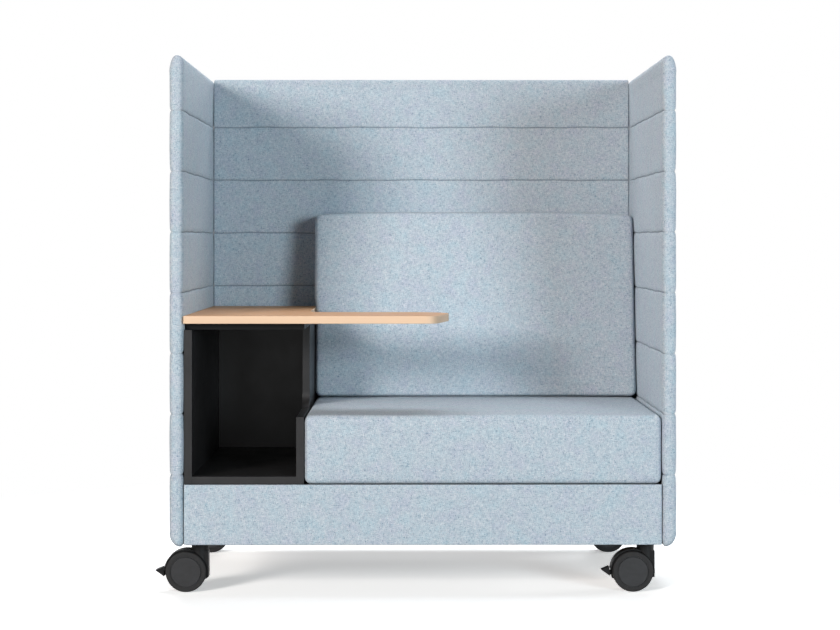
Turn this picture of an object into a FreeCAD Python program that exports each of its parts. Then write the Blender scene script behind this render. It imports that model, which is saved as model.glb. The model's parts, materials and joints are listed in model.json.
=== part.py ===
"""Two-seater booth sofa on casters, with an open cabinet and a table leaf.

Frame: millimetres, +Z up, floor at Z = 0, front towards -Y. Left (-X) and right (+X) are those of
somebody who looks at the front. The origin lies on the floor, in the middle of the whole outline.
"""
import FreeCAD, Part
import math
import os
import re

import Sketcher

# Driving dimensions, in millimetres.
DIMENSIONS = [
    # Overall size and padded walls
    ("width", 1246, "outside of left wall to outside of right wall"),
    ("depth", 750, "front edge to rear edge of the side walls"),
    ("height", 1326, "floor to top of the walls"),
    ("wall_thickness", 36, "padded wall"),
    ("wall_drop", 13, "caster beam down to lower edge of the walls"),
    ("wall_round", 14, "rounding of the upright wall edges"),
    ("rim_rise", 44, "height over which the upper wall edges taper"),
    ("foot_rise", 36, "height over which the lower wall edges taper"),
    ("inner_rise", 18, "same heights on the inside of a side wall"),
    ("foot_shift", 9, "middle of a side wall inwards to its lowest line"),
    ("wall_band", 24, "plain band without seams along an upright edge"),
    ("top_channel", 136, "top of the wall to its first seam"),
    ("channel_pitch", 149, "seam to seam"),
    ("last_channel", 100, "least height of the lowest channel"),
    ("quilt_depth", 4, "how far a seam is drawn in"),
    ("quilt_width", 14, "seam to where the padding is flat again"),
    ("core_thickness", 18, "board inside a wall"),
    ("core_inset", 10, "edge of a wall to its core"),
    ("seat_gap", 0.5, "walls to the frame and boards between them"),
    ("soft_gap", 0.3, "soft piece to its neighbours"),
    # Base frame
    ("base_drop", 8, "caster beam down to lower edge of the base front"),
    ("base_height", 148, "lower edge of the base front to the deck's upper face"),
    ("base_setback", 2, "wall front edge to base front"),
    ("base_pad", 6, "padding on the base front"),
    ("base_fold", 3, "fabric folded under the front rail"),
    ("base_round", 4, "rounding of the base front's edges"),
    ("rail_thickness", 18, "base rails"),
    ("deck_thickness", 18, "base deck"),
    ("beam_width", 120, "board that carries two casters"),
    ("beam_thickness", 27, "same board, height"),
    ("dust_sheet", 1.5, "cloth under the base"),
    ("dust_lap", 15, "cloth under the edge of a caster beam"),
    # Cushions
    ("seat_thickness", 174, "seat cushion at its middle"),
    ("seat_setback", 3, "wall front edge to seat cushion"),
    ("seat_crown", 6, "rise of the seat cushion's middle"),
    ("seat_swell", 1, "swell of the seat cushion's front"),
    ("pad_round", 18, "rounding of the cushions' edges"),
    ("back_height", 502, "height of the back cushion"),
    ("back_foot", 204, "thickness of the back cushion at its foot"),
    ("back_head", 122, "thickness of the back cushion at its head"),
    ("back_crown", 8, "swell of the back cushion's front"),
    ("back_swell", 2, "swell of the back cushion's top"),
    ("back_board", 12, "board in the back cushion"),
    ("back_board_inset", 60, "edge of the back cushion to its board"),
    ("clip_depth", 7, "back cushion board to wall"),
    ("clip_height", 34, "clip of the back cushion board"),
    ("clip_width", 50, "same clip, across"),
    ("clip_sheet", 2, "same clip, metal"),
    # Cabinet
    ("cabinet_width", 294, "outside"),
    ("cable_gap", 35.5, "cabinet to back wall"),
    ("cabinet_setback", 11, "wall front edge to cabinet front"),
    ("board", 19, "cabinet sides and bottom"),
    ("lid_board", 16, "cabinet top"),
    ("lid_setback", 20, "cabinet front to the front of its top"),
    ("rear_board", 12, "cabinet back"),
    ("edge_ease", 0.8, "rounding of the board edges"),
    ("cut_depth", 275, "how far the right side is cut back above the seat"),
    ("cut_step", 165, "deck to the lower edge of that cut"),
    ("cut_round", 40, "inner corner of that cut"),
    # Table leaf
    ("table_rise", 414, "deck to the table's upper face"),
    ("table_thickness", 19, "leaf"),
    ("table_overhang", 15, "cabinet front to table front"),
    ("table_length", 619, "left end to the front corner of the arm"),
    ("table_rear_gap", 6, "table to back wall"),
    ("arm_depth", 255, "front to rear edge of the arm"),
    ("arm_slant", 55, "front corner to rear corner of the arm's end"),
    ("arm_front_round", 32, "front corner of the arm"),
    ("arm_rear_round", 90, "rear corner of the arm"),
    ("arm_root_round", 40, "inner corner between arm and leaf"),
    # Casters
    ("caster_margin", 3.5, "side wall to mounting plate"),
    ("caster_space", 22, "front rail to mounting plate"),
    ("trail", 33, "swivel axis to wheel axle"),
    ("wheel_radius", 50, "tyre"),
    ("tyre_thickness", 11, "tyre"),
    ("wheel_width", 21.5, "one wheel of the pair"),
    ("wheel_side_gap", 1.5, "wheel to web"),
    ("tyre_round", 4, "rounding of the tread"),
    ("tyre_setback", 1, "hub face to the side of the tyre"),
    ("hub_ring", 3, "depth of the ring sunk round the hub's face"),
    ("hub_ring_width", 1.8, "width of that ring"),
    ("hub_bevel", 1.2, "bevel of the hub's face"),
    ("hub_cover", 4, "hub wall outside the axle's end"),
    ("axle_radius", 4, "axle"),
    ("run_gap", 0.05, "radial clearance of turning fits"),
    ("hood_gap", 2, "tyre to hood"),
    ("hood_wall", 3, "hood over the wheels"),
    ("hood_half", 17, "half the width of the hood"),
    ("hood_end", 4, "wheel axle up to the hood's left end"),
    ("skirt_drop", 15, "wheel axle down to the end of the neck's skirt"),
    ("web_drop", 20, "wheel axle down to the end of the web"),
    ("neck_radius", 21.5, "swivel neck"),
    ("neck_rise", 23, "top of the hood to the mounting plate"),
    ("swivel_gap", 0.3, "swivel neck to mounting plate, and pin head to its shoulder"),
    ("plate_sheet", 4, "mounting plate"),
    ("plate_margin", 7, "edge of the plate to its screws"),
    ("pin_radius", 6, "swivel pin"),
    ("pin_head", 9, "radius of the swivel pin's head"),
    ("pin_head_depth", 3, "same head"),
    ("pin_head_gap", 1, "room round that head"),
    ("pin_drain", 3, "radius of the drain below that room"),
    ("pin_drop", 5, "top of the hood down to the pin's shoulder"),
    ("pedal_reach", 22, "hood to the tip of the brake pedal"),
    ("pedal_rise", 2, "wheel axle up to that tip"),
    ("pedal_gap", 3, "hood to the pedal's upper root"),
    ("pedal_root_rise", 10, "wheel axle up to that root"),
    ("pedal_heel", 3.5, "inside of the hood out to the pedal's lower root"),
    ("pedal_heel_drop", 13, "wheel axle down to that root"),
    ("pedal_half", 13, "half the width of the pedal"),
    ("lever_drop", 5, "wheel axle down to the pedal's pivot"),
    ("lever_half", 3, "half the thickness of the lever"),
    ("lever_boss", 6, "radius of the lever's boss"),
    ("lever_room", 3, "boss to the end of the lever's slot"),
    ("lever_clear", 0.4, "lever to the cheeks of its slot"),
    ("lever_cheek", 2.6, "web beside the lever's slot"),
    ("trunnion", 2, "radius of the lever's trunnions"),
    # Fasteners
    ("hole_gap", 0.1, "radial clearance of fastener holes"),
    ("stud_radius", 4, "stud between side and back walls"),
    ("stud_length", 60, "same stud"),
    ("stud_grip", 4, "middle of a side wall's core to the stud's end"),
    ("stud_margin", 170, "upper or lower wall edge to the nearest stud"),
    ("bolt_radius", 4, "bolt from a rail into a wall"),
    ("bolt_length", 44, "same bolt"),
    ("bolt_head", 7, "radius of its head"),
    ("bolt_head_depth", 6, "same head"),
    ("bolt_margin", 90, "end of a side rail to the nearest bolt"),
    ("bolt_spread", 250, "bolt to bolt along the rear rail"),
    ("screw_radius", 3, "cabinet screw"),
    ("screw_length", 42, "same screw"),
    ("screw_head", 5, "radius of its head"),
    ("screw_head_depth", 4, "same head"),
    ("screw_margin", 110, "end of a board to the nearest screw"),
    ("leaf_screw_radius", 2.5, "screw from the cabinet top into the table"),
    ("leaf_screw_length", 28, "same screw"),
    ("leaf_screw_head", 5, "radius of its head"),
    ("leaf_screw_head_depth", 2.5, "same head"),
    ("plate_screw_radius", 2.5, "screw of a mounting plate"),
    ("plate_screw_length", 24, "same screw"),
    ("plate_screw_head", 4.5, "radius of its head"),
    ("plate_screw_head_depth", 2.4, "same head"),
    ("plate_screw_clear", 0.5, "swivel neck to a plate screw's middle, along X and Y"),
]

# Places worked out from the driving dimensions and from each other.
PLACES = [
    ("front", "-depth / 2", "front edge of the side walls"),
    ("rear", "depth / 2 - wall_thickness - seat_gap", "what stands against the back wall"),
    ("inside", "width / 2 - wall_thickness - seat_gap", "what stands against a side wall"),
    ("wall_x", "width / 2 - wall_thickness / 2", "middle of a side wall"),
    ("wall_y", "depth / 2 - wall_thickness / 2", "middle of the back wall"),
    # Casters, about the swivel axis and the floor
    ("hood_inside", "wheel_radius + hood_gap", "inner radius of the hood"),
    ("hood_radius", "hood_inside + hood_wall", "outer radius of the hood"),
    ("hood_top", "wheel_radius + hood_radius", "floor to the top of the hood"),
    ("plate_under", "hood_top + neck_rise", "floor to the mounting plate"),
    ("plate_top", "plate_under + plate_sheet", "floor to the caster beam"),
    ("neck_top", "plate_under - swivel_gap", "floor to the top of the neck"),
    ("pin_shoulder", "hood_top - pin_drop", "floor to the shoulder on the pin's head"),
    ("pin_foot", "pin_shoulder - swivel_gap - pin_head_depth", "floor to the pin's lower end"),
    ("screw_spread", "neck_radius + plate_screw_clear", "swivel axis to a plate screw, in X and Y"),
    ("plate_half", "screw_spread + plate_margin", "half the mounting plate"),
    ("web_half", "lever_half + lever_clear + lever_cheek", "half the web between the wheels"),
    ("wheel_inner", "web_half + wheel_side_gap", "middle of the caster to a wheel's inner face"),
    ("wheel_outer", "wheel_inner + wheel_width", "middle of the caster to a wheel's outer face"),
    ("axle_end", "wheel_outer - hub_cover", "middle of the caster to the end of the axle's bore"),
    ("hub_radius", "wheel_radius - tyre_thickness", "hub"),
    ("pivot_x", "lever_boss - trail - hood_inside", "pivot of the brake lever"),
    ("pivot_z", "wheel_radius - lever_drop", "same pivot, above the floor"),
    ("caster_x", "inside - caster_margin - plate_half", "swivel axis"),
    ("caster_y", "-rail_back - caster_space - plate_half", "same axis"),
    # The front left brake pedal reaches past the wall, so the walls' middle lies right of the origin
    ("middle", "(caster_x + trail + hood_radius + pedal_reach - width / 2) / 2", "middle of the walls"),
    # Heights and depths of the body
    ("wall_bottom", "plate_top - wall_drop", "lower edge of the walls"),
    ("rail_front", "front + base_setback + base_pad", "front face of the front rail"),
    ("rail_back", "rail_front + rail_thickness", "back face of the front rail"),
    ("rail_rear", "rear - rail_thickness", "front face of the rear rail"),
    ("base_bottom", "plate_top - base_drop", "lower edge of the base front"),
    ("base_top", "base_bottom + base_height", "upper face of the deck"),
    ("deck_under", "base_top - deck_thickness", "lower face of the deck"),
    ("beam_top", "plate_top + beam_thickness", "upper face of the caster beams"),
    ("bolt_z", "(beam_top + deck_under) / 2", "bolts from the rails into the walls"),
    ("seat_top", "base_top + seat_thickness", "top of the seat cushion"),
    ("soft_left", "cabinet_right + soft_gap", "left end of the cushions"),
    ("soft_right", "width / 2 - wall_thickness - soft_gap", "right end of the cushions and the back wall"),
    ("soft_rear", "depth / 2 - wall_thickness - soft_gap", "back of the cushions"),
    ("board_left", "cabinet_right + back_board_inset", "left end of the back cushion's board"),
    ("board_right", "inside - back_board_inset", "right end of that board"),
    ("board_low", "seat_top + back_board_inset", "lower edge of that board"),
    ("board_high", "seat_top + back_height - back_board_inset", "upper edge of that board"),
    ("board_rear", "rear - clip_depth", "back of that board"),
    ("cabinet_right", "cabinet_width - inside", "right face of the cabinet"),
    ("cabinet_front", "front + cabinet_setback", "front edge of the cabinet"),
    ("cabinet_back", "rear - cable_gap", "rear edge of the cabinet"),
    ("table_under", "base_top + table_rise - table_thickness", "lower face of the table"),
    ("table_front", "cabinet_front - table_overhang", "front edge of the table"),
    ("lid_under", "table_under - lid_board", "lower face of the cabinet top"),
]
CORNERS = [("front_left", -1, -1), ("front_right", 1, -1), ("rear_left", -1, 1), ("rear_right", 1, 1)]
SIDES = [("left", -1), ("right", 1)]
TURNS = {
    "+X": FreeCAD.Rotation(FreeCAD.Vector(0, 1, 0), 90),
    "-X": FreeCAD.Rotation(FreeCAD.Vector(0, 1, 0), -90),
    "+Y": FreeCAD.Rotation(FreeCAD.Vector(1, 0, 0), -90),
    "+Z": FreeCAD.Rotation(),
    "-Z": FreeCAD.Rotation(FreeCAD.Vector(1, 0, 0), 180),
    "half turn": FreeCAD.Rotation(FreeCAD.Vector(0, 0, 1), 180),
}

doc = FreeCAD.newDocument("sofa")
sheet = doc.addObject("Spreadsheet::Sheet", "dims")
for row, (alias, number, note) in enumerate(DIMENSIONS, start=1):
    sheet.set(f"A{row}", alias)
    sheet.set(f"B{row}", str(number))
    sheet.set(f"C{row}", note)
    sheet.setAlias(f"B{row}", alias)
doc.recompute()
place_names = {name for name, _, _ in PLACES}
sub_parts = []
TOUCH = 1e-6


def formula(text):
    """An expression in which every name is a driving dimension or a place worked out from them."""

    def owner(name):
        return f"places.{name[0]}" if name[0] in place_names else f"dims.{name[0]}"

    return re.sub(r"[a-z_]+", owner, text)


places = doc.addObject("App::FeaturePython", "places")
for name, text, note in PLACES:
    places.addProperty("App::PropertyFloat", name, "Places", note)
for name, text, note in PLACES:
    places.setExpression(name, formula(text))
doc.recompute()


def size(name):
    """A driving dimension or a place, in millimetres."""
    return getattr(places, name) if name in place_names else float(sheet.get(name))


def place(obj, x, y, z, turn="+Z"):
    """Bind an object's place to the sheet, after turning its own Z axis."""
    obj.Placement = FreeCAD.Placement(FreeCAD.Vector(), TURNS[turn])
    for name, text in (("x", x), ("y", y), ("z", z)):
        obj.setExpression(f"Placement.Base.{name}", formula(text))
    return obj


def keep(obj, label):
    """Name an object as a sub-part of the sofa."""
    obj.Label = label
    sub_parts.append(obj)
    return obj


def box(name, x, y, z):
    """A block between pairs of formulas, in the frame of the walls' middle."""
    obj = doc.addObject("Part::Box", name)
    for side, (low, high) in (("Length", x), ("Width", y), ("Height", z)):
        obj.setExpression(side, formula(f"({high}) - ({low})"))
    return place(obj, x[0], y[0], z[0])


def cylinder(name, radius, length, x, y, z, turn="+Z"):
    obj = doc.addObject("Part::Cylinder", name)
    obj.setExpression("Radius", formula(radius))
    obj.setExpression("Height", formula(length))
    return place(obj, x, y, z, turn)


def cut(name, base, *tools):
    """The base without its tools, taken away one after another."""
    for number, tool in enumerate(tools, start=1):
        obj = doc.addObject("Part::Cut", f"{name}_cut_{number}")
        obj.Base = base
        obj.Tool = tool
        base = obj
    return base


def fuse(name, *shapes):
    obj = doc.addObject("Part::MultiFuse", name)
    obj.Shapes = list(shapes)
    return obj


def group(name, shapes):
    obj = doc.addObject("Part::Compound", name)
    obj.Links = list(shapes)
    return obj


def polygon(body, plane, corners):
    """A sketch of straight sides on one of a body's origin planes, each corner bound to the sheet."""
    sketch = body.newObject("Sketcher::SketchObject", f"{body.Name}_outline")
    support = [item for item in body.Origin.OriginFeatures if item.Role == plane]
    sketch.AttachmentSupport = [(support[0], "")]
    sketch.MapMode = "FlatFace"
    count = len(corners)
    turns = [2 * math.pi * number / count for number in range(count)]
    start = [FreeCAD.Vector(math.cos(turn), math.sin(turn), 0) for turn in turns]
    for number in range(count):
        sketch.addGeometry(Part.LineSegment(start[number], start[(number + 1) % count]), False)
    for number in range(count):
        sketch.addConstraint(Sketcher.Constraint("Coincident", number, 2, (number + 1) % count, 1))
    for number, texts in enumerate(corners):
        for kind, text, value in zip(("DistanceX", "DistanceY"), texts, start[number]):
            index = sketch.addConstraint(Sketcher.Constraint(kind, -1, 1, number, 1, value))
            sketch.setExpression(f"Constraints[{index}]", formula(text))
    return sketch


def pad(name, plane, corners, length):
    """A body padded from a polygon: +Z from XY, -Y from XZ, +X from YZ."""
    body = doc.addObject("PartDesign::Body", name)
    sketch = polygon(body, plane, corners)
    solid = body.newObject("PartDesign::Pad", f"{name}_pad")
    solid.Profile = sketch
    solid.setExpression("Length", formula(length))
    return body


def lathe(name, corners):
    """A body turned about Y from a polygon of (radius, Y) corners."""
    body = doc.addObject("PartDesign::Body", name)
    sketch = polygon(body, "XY_Plane", corners)
    solid = body.newObject("PartDesign::Revolution", f"{name}_turn")
    solid.Profile = sketch
    solid.ReferenceAxis = (sketch, ["V_Axis"])
    solid.Angle = 360
    return body


def round_edges(body, radius, wanted):
    """Round those edges of a body for which the test holds."""
    doc.recompute()
    base = body.Tip
    names = [f"Edge{number}" for number, edge in enumerate(base.Shape.Edges, start=1) if wanted(edge)]
    fillet = body.newObject("PartDesign::Fillet", f"{body.Name}_{radius}")
    fillet.Base = (base, names)
    fillet.setExpression("Radius", formula(radius))
    return body


def board(name, x, y, z):
    """A board with eased edges between pairs of formulas."""
    corners = [("0", "0"), (f"({x[1]}) - ({x[0]})", "0"),
               (f"({x[1]}) - ({x[0]})", f"({y[1]}) - ({y[0]})"), ("0", f"({y[1]}) - ({y[0]})")]
    body = pad(name, "XY_Plane", corners, f"({z[1]}) - ({z[0]})")
    round_edges(body, "edge_ease", lambda edge: True)
    return place(body, x[0], y[0], z[0])


def copies(name, master, spots):
    """Copies of a master at (x, y, z, turn) places, as one group."""
    placed = []
    for number, spot in enumerate(spots, start=1):
        copy = group(f"{name}_{number}", [master])
        placed.append(place(copy, *spot))
    return group(name, placed)


def fasteners(name, kind, spots):
    """Bolts with their heads seated at the given places, and the holes that they need."""
    made = []
    for end, gap in (("", "0"), ("_holes", "hole_gap")):
        shank = f"{kind}_radius + {gap}"
        head = f"{kind}_head + {gap}"
        master = fuse(
            f"{name}{end}_master",
            cylinder(f"{name}{end}_shank", shank, f"{kind}_length + {gap}", "0", "0", "0"),
            cylinder(f"{name}{end}_head", head, f"{kind}_head_depth + {gap}",
                     "0", "0", f"-{kind}_head_depth - {gap}"))
        made.append(copies(f"{name}{end}_group", master, spots))
    return made


def finish(label, obj):
    """Move a finished piece from the walls' middle to the frame's origin and keep it."""
    return keep(place(group(f"{label}_placed", [obj]), "middle", "0", "0"), label)


def against_wall(side, thickness):
    """X range of a board that stands against the left (-1) or right (1) wall."""
    return ("-inside", f"{thickness} - inside") if side < 0 else (f"inside - {thickness}", "inside")


# Soft forms


def arc(start, through, end):
    return Part.Arc(start, through, end).toShape()


def line(start, end):
    return Part.LineSegment(start, end).toShape()


def seam_heights():
    """Seams of the walls, from the lowest up."""
    heights = []
    seam = size("height") - size("top_channel")
    while seam > size("wall_bottom") + size("last_channel"):
        heights.insert(0, seam)
        seam -= size("channel_pitch")
    return heights


def rim_arc(point, face, peak, level, rise):
    """A quarter ellipse from an upright face of a wall to the peak of its upper or lower edge."""
    handle = 4 * (math.sqrt(2) - 1) / 3
    curve = Part.BezierCurve()
    curve.setPoles([point(face, level - rise), point(face, level - rise * (1 - handle)),
                    point(peak + (face - peak) * handle, level), point(peak, level)])
    return curve.toShape()


def wall_profile(point, seams=(), inset=0, inner=0):
    """Outline of a padded wall across its thickness, drawn in by inset and at each seam.

    point(across, z) gives a place in space. inner is the side, 1 or -1, that faces the seat, where the
    edges taper over a shorter height, or 0 for a wall that tapers alike on both sides.
    """
    full = size("wall_thickness") / 2
    half = full - inset
    low, top = size("wall_bottom") + inset, size("height") - inset
    foot = inner * size("foot_shift") * half / full
    draw, reach = size("quilt_depth"), size("quilt_width")
    bend = (reach ** 2 + draw ** 2) / (2 * draw)
    turn = math.asin(reach / bend) / 2
    near_draw, near_reach = bend * (1 - math.cos(turn)), reach - bend * math.sin(turn)
    edges = []
    for side in (1, -1):
        rim, sole = ("inner_rise", "inner_rise") if side == inner else ("rim_rise", "foot_rise")
        rise, fall = size(rim) - inset, size(sole) - inset
        at = point(side * half, low + fall)
        for seam in seams:
            start, end = point(side * half, seam - reach), point(side * half, seam + reach)
            deep = point(side * (half - draw), seam)
            below = point(side * (half - near_draw), seam - near_reach)
            above = point(side * (half - near_draw), seam + near_reach)
            edges += [line(at, start), arc(start, below, deep), arc(deep, above, end)]
            at = end
        edges.append(line(at, point(side * half, top - rise)))
        edges.append(rim_arc(point, side * half, 0, top, rise))
        edges.append(rim_arc(point, side * half, foot, low, -fall))
    return Part.Wire(Part.__sortEdges__(edges))


def edge_band(end, seam, inner):
    """The plain upright edge of a side wall between two Y values, rounded at its end."""
    way = math.copysign(1, seam - end)
    corner = size("wall_round")

    def section(distance, inset):
        y = end + way * distance
        return wall_profile(lambda across, z: FreeCAD.Vector(across, y, z), inset=inset, inner=inner)

    straight = Part.Face(section(corner, 0)).extrude(FreeCAD.Vector(0, seam - end - way * corner, 0))
    turns = [math.radians(angle) for angle in (0, 30, 60, 90)]
    sections = [section(corner * (1 - math.sin(turn)), corner * (1 - math.cos(turn))) for turn in turns]
    return straight.fuse(Part.makeLoft(sections, True))


def side_wall_cover(inner):
    """Padding and fabric of a side wall about X = 0, solid, whose inner side faces the seat."""
    front, rear, band = size("front"), -size("front"), size("wall_band")
    outline = wall_profile(lambda across, z: FreeCAD.Vector(across, front + band, z), seam_heights(),
                           inner=inner)
    quilted = Part.Face(outline).extrude(FreeCAD.Vector(0, rear - front - 2 * band, 0))
    return quilted.fuse([edge_band(front, front + band, inner), edge_band(rear, rear - band, inner)])


def back_wall_cover():
    """Padding and fabric of the back wall about Y = 0, solid."""
    half = size("soft_right")
    outline = wall_profile(lambda across, z: FreeCAD.Vector(-half, across, z), seam_heights())
    return Part.Face(outline).extrude(FreeCAD.Vector(2 * half, 0, 0))


def soft_section(x, corners, inset, corner, swells):
    """Closed outline in the plane X = x: corners (y, z) drawn in by inset and rounded, sides swollen."""
    points = [FreeCAD.Vector(x, y, z) for y, z in corners]
    count = len(points)
    legs = []
    for number, here in enumerate(points):
        to_last = (points[number - 1] - here).normalize()
        to_next = (points[(number + 1) % count] - here).normalize()
        half_angle = to_last.getAngle(to_next) / 2
        inward = (to_last + to_next).normalize()
        tip = here + inward * (inset / math.sin(half_angle))
        reach = corner / math.tan(half_angle)
        middle = tip + inward * (corner / math.sin(half_angle) - corner)
        legs.append((tip + to_last * reach, middle, tip + to_next * reach))
    edges = []
    centre = sum(points, FreeCAD.Vector()) * (1 / count)
    for number, (enter, middle, leave) in enumerate(legs):
        edges.append(arc(enter, middle, leave))
        target = legs[(number + 1) % count][0]
        half_way = (leave + target) * 0.5
        along = (target - leave).normalize()
        outward = half_way - centre
        outward = (outward - along * outward.dot(along)).normalize()
        swell = swells[number]
        edges.append(arc(leave, half_way + outward * swell, target) if swell else line(leave, target))
    return Part.Wire(edges)


def soft_block(left, right, corners, swells):
    """A crowned cushion between two X values, fullest in the middle and drawn in at both ends."""
    corner = size("pad_round")
    # Per section: distance from the end, inset and rounding in corner radii, share of the swell
    stations = [(0, 0.45, 0.5, 0.2), (0.3, 0.12, 0.8, 0.3), (1, 0, 1, 0.5), (6, 0, 1, 0.9)]
    middle = (left + right) / 2
    sections = []
    for step, inset, share, full in stations:
        sections.append((left + step * corner, inset * corner, share * corner, full))
    sections.append((middle, 0, corner, 1))
    for step, inset, share, full in reversed(stations):
        sections.append((right - step * corner, inset * corner, share * corner, full))
    wires = [soft_section(x, corners, inset, share, [full * swell for swell in swells])
             for x, inset, share, full in sections]
    return Part.makeLoft(wires, True, True)


def seat_block():
    front, rear = size("front") + size("seat_setback"), size("soft_rear")
    low, top = size("base_top") + size("soft_gap"), size("seat_top") - size("seat_crown")
    corners = [(front, low), (rear, low), (rear, top), (front, top)]
    swells = [0, 0, size("seat_crown"), size("seat_swell")]
    return soft_block(size("soft_left"), size("soft_right"), corners, swells)


def back_block():
    rear, low = size("soft_rear"), size("seat_top") + size("soft_gap")
    top = low + size("back_height")
    corners = [(rear - size("back_foot"), low), (rear, low), (rear, top), (rear - size("back_head"), top)]
    swells = [0, 0, size("back_swell"), size("back_crown")]
    return soft_block(size("soft_left"), size("soft_right"), corners, swells)


def soft_feature(name, shape):
    obj = doc.addObject("Part::Feature", name)
    obj.Shape = shape
    return obj


# Fasteners, made first so that every piece can take their holes

side_bolt_y = ["rail_back + bolt_margin", "(rail_back + rail_rear) / 2", "rail_rear - bolt_margin"]
bolt_spots = [("rail_thickness - inside", y, "bolt_z", "-X") for y in side_bolt_y]
bolt_spots += [("inside - rail_thickness", y, "bolt_z", "+X") for y in side_bolt_y]
bolt_spots += [(f"{step} * bolt_spread", "rail_rear", "bolt_z", "+Y") for step in (-1.5, -0.5, 0.5, 1.5)]
wall_bolts, wall_bolt_holes = fasteners("bolts", "bolt", bolt_spots)

stud_heights = ["wall_bottom + stud_margin", "(wall_bottom + height) / 2", "height - stud_margin"]
stud_spots = [("-wall_x - stud_grip", "wall_y", z, "+X") for z in stud_heights]
stud_spots += [("wall_x + stud_grip", "wall_y", z, "-X") for z in stud_heights]
stud = cylinder("stud", "stud_radius", "stud_length", "0", "0", "0")
stud_hole = cylinder("stud_hole", "stud_radius + hole_gap", "stud_length + 2 * hole_gap",
                     "0", "0", "-hole_gap")
wall_studs = copies("studs", stud, stud_spots)
stud_holes = copies("stud_holes", stud_hole, stud_spots)

foot_screw_y = ["cabinet_front + screw_margin", "cabinet_back - screw_margin"]
lid_screw_y = ["cabinet_front + cut_depth + screw_margin", "cabinet_back - screw_margin"]
sunk_head = "screw_head_depth + hole_gap"
screw_spots = [(f"{sunk_head} - inside", y, "base_top + board / 2", "+X") for y in foot_screw_y]
screw_spots += [(f"cabinet_right - {sunk_head}", y, "base_top + board / 2", "-X") for y in foot_screw_y]
screw_spots += [(x, y, f"table_under - ({sunk_head})", "-Z") for y in lid_screw_y
                for x in ("board / 2 - inside", "cabinet_right - board / 2")]
cabinet_screws, cabinet_screw_holes = fasteners("screws", "screw", screw_spots)

leaf_spots = [(f"cabinet_right - cabinet_width * {share}", y, "lid_under", "+Z")
              for share in (0.25, 0.75) for y in foot_screw_y]
table_screws, table_screw_holes = fasteners("leaf_screws", "leaf_screw", leaf_spots)

corner_spots = [(f"{right} * caster_x", f"{back} * caster_y") for _, right, back in CORNERS]
plate_screw_spots = [(f"{x} + {a} * screw_spread", f"{y} + {b} * screw_spread", "plate_under", "+Z")
                     for x, y in corner_spots for a in (-1, 1) for b in (-1, 1)]
caster_screws, caster_screw_holes = fasteners("plate_screws", "plate_screw", plate_screw_spots)

# Padded walls: a board core inside a quilted cover

core_z = ("wall_bottom + core_inset", "height - core_inset")
core_half = "core_thickness / 2"
for label, side in SIDES:
    core = box(f"{label}_core", (f"{side} * wall_x - {core_half}", f"{side} * wall_x + {core_half}"),
               ("front + core_inset", "-front - core_inset"), core_z)
    cover = place(soft_feature(f"{label}_cover", side_wall_cover(-side)), f"{side} * wall_x", "0", "0")
    finish(f"{label}_wall_core", cut(f"{label}_core", core, wall_bolt_holes, stud_holes))
    finish(f"{label}_wall_cover", cut(f"{label}_cover", cover, core, wall_bolt_holes, stud_holes))

back_core = box("back_core", ("core_inset - soft_right", "soft_right - core_inset"),
                (f"wall_y - {core_half}", f"wall_y + {core_half}"), core_z)
back_cover = place(soft_feature("back_cover", back_wall_cover()), "0", "wall_y", "0")
finish("back_wall_core", cut("back_core", back_core, wall_bolt_holes, stud_holes))
finish("back_wall_cover", cut("back_cover", back_cover, back_core, wall_bolt_holes, stud_holes))
finish("wall_studs", wall_studs)
finish("wall_bolts", wall_bolts)

# Base frame

between_walls = ("-inside", "inside")
between_rails = ("rail_back", "rail_rear")
front_cover = pad("front_cover", "YZ_Plane", [
    ("front + base_setback", "base_bottom"), ("rail_back", "base_bottom"),
    ("rail_back", "base_bottom + base_fold"), ("rail_front", "base_bottom + base_fold"),
    ("rail_front", "base_top"), ("front + base_setback", "base_top")], "2 * inside")
cover_front = size("front") + size("base_setback")
round_edges(front_cover, "base_round", lambda edge: edge.Length > size("inside")
            and abs(edge.CenterOfMass.y - cover_front) < TOUCH)
finish("base_front_cover", place(front_cover, "-inside", "0", "0"))
finish("base_front_rail", box("front_rail", between_walls, ("rail_front", "rail_back"),
                              ("base_bottom + base_fold", "deck_under")))
rear_rail = box("rear_rail", between_walls, ("rail_rear", "rear"), ("beam_top", "deck_under"))
finish("base_rear_rail", cut("rear_rail", rear_rail, wall_bolt_holes))
for label, side in SIDES:
    rail = box(f"{label}_rail", against_wall(side, "rail_thickness"), between_rails,
               ("beam_top", "deck_under"))
    beam = box(f"{label}_beam", against_wall(side, "beam_width"), ("rail_back", "rear"),
               ("plate_top", "beam_top"))
    finish(f"base_{label}_rail", cut(f"{label}_rail", rail, wall_bolt_holes))
    finish(f"{label}_caster_beam", cut(f"{label}_beam", beam, caster_screw_holes))
finish("base_cross_rail", box("cross_rail", ("-rail_thickness / 2", "rail_thickness / 2"), between_rails,
                              ("plate_top", "deck_under")))
finish("base_deck", box("deck", between_walls, ("rail_front", "rear"), ("deck_under", "base_top")))
dust_x = ("beam_width - dust_lap - inside", "inside - beam_width + dust_lap")
finish("base_dust_cover", box("dust_cover", dust_x, ("rail_back + soft_gap", "rear"),
                              ("plate_top - dust_sheet", "plate_top")))

# Cushions, and the board and clips that hang the back cushion on the wall

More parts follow.
